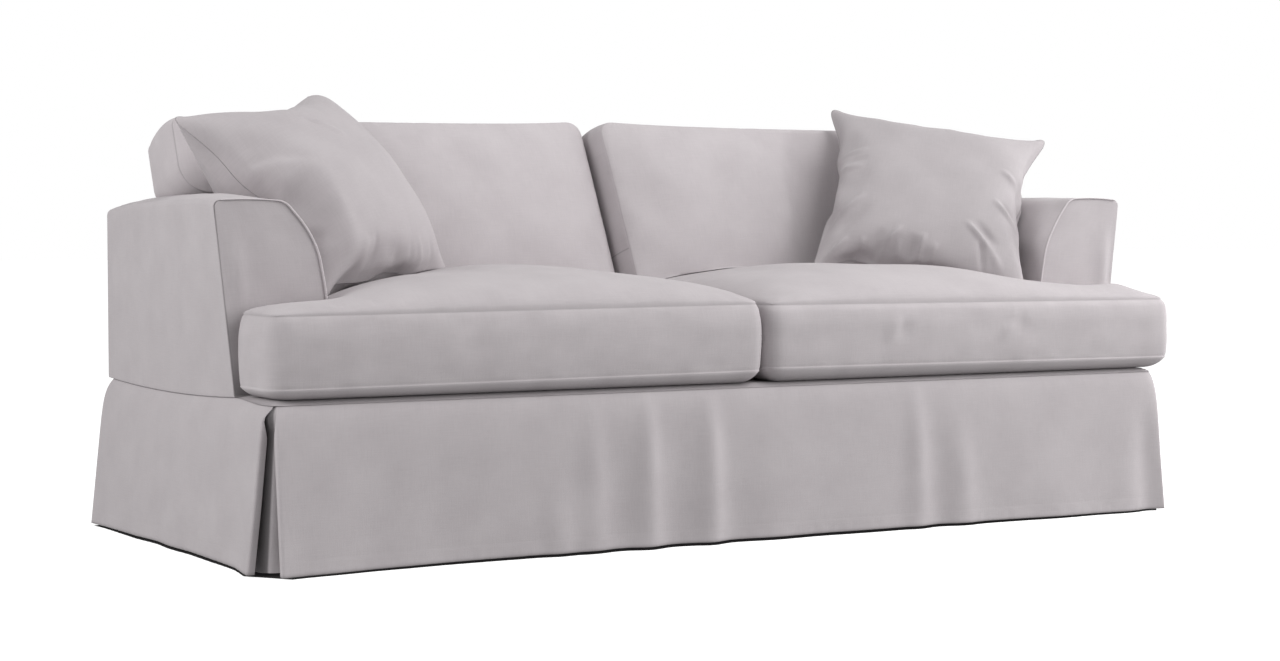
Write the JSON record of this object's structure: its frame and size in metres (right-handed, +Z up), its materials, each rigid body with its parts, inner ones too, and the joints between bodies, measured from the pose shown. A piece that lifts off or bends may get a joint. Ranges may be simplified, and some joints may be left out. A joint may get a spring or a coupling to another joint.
{
  "type": "sofa slipcover",
  "caption": "Fitted slipcover set for a sofa in plain light mauve-grey cloth: arms, back and deck, a floor-length kick-pleat skirt, T-shaped box cushions and knife-edge pillows",
  "frame": {"origin": "on the floor, at the centre of the footprint, under the hem of the skirt", "axes": "+X along the sofa to the right hand of someone facing its front, +Y from the front to the back, +Z up"},
  "size_m": [2.1652, 0.9996, 0.897],
  "materials": {
    "cover": "matt plain-weave cloth",
    "welt": "the same cloth over a cord",
    "seat_cushions": "the same cloth, filled",
    "back_cushions": "the same cloth, filled",
    "pillows": "the same cloth, filled"
  },
  "bodies": {
    "root": {"arm_front_left": "cover", "arm_front_right": "cover", "arm_welt_left": "welt", "arm_welt_right": "welt", "arm_wrap_left": "cover", "arm_wrap_right": "cover", "back_cushion_left": "back_cushions", "back_cushion_right": "back_cushions", "deck": "cover", "inside_back": "cover", "outside_back": "cover", "pillow_left": "pillows", "pillow_right": "pillows", "pleat_back_left": "cover", "pleat_back_right": "cover", "pleat_front_left": "cover", "pleat_front_right": "cover", "seat_cushion_left": "seat_cushions", "seat_cushion_right": "seat_cushions", "skirt_back": "cover", "skirt_front": "cover", "skirt_left": "cover", "skirt_right": "cover"}
  },
  "joints": []
}
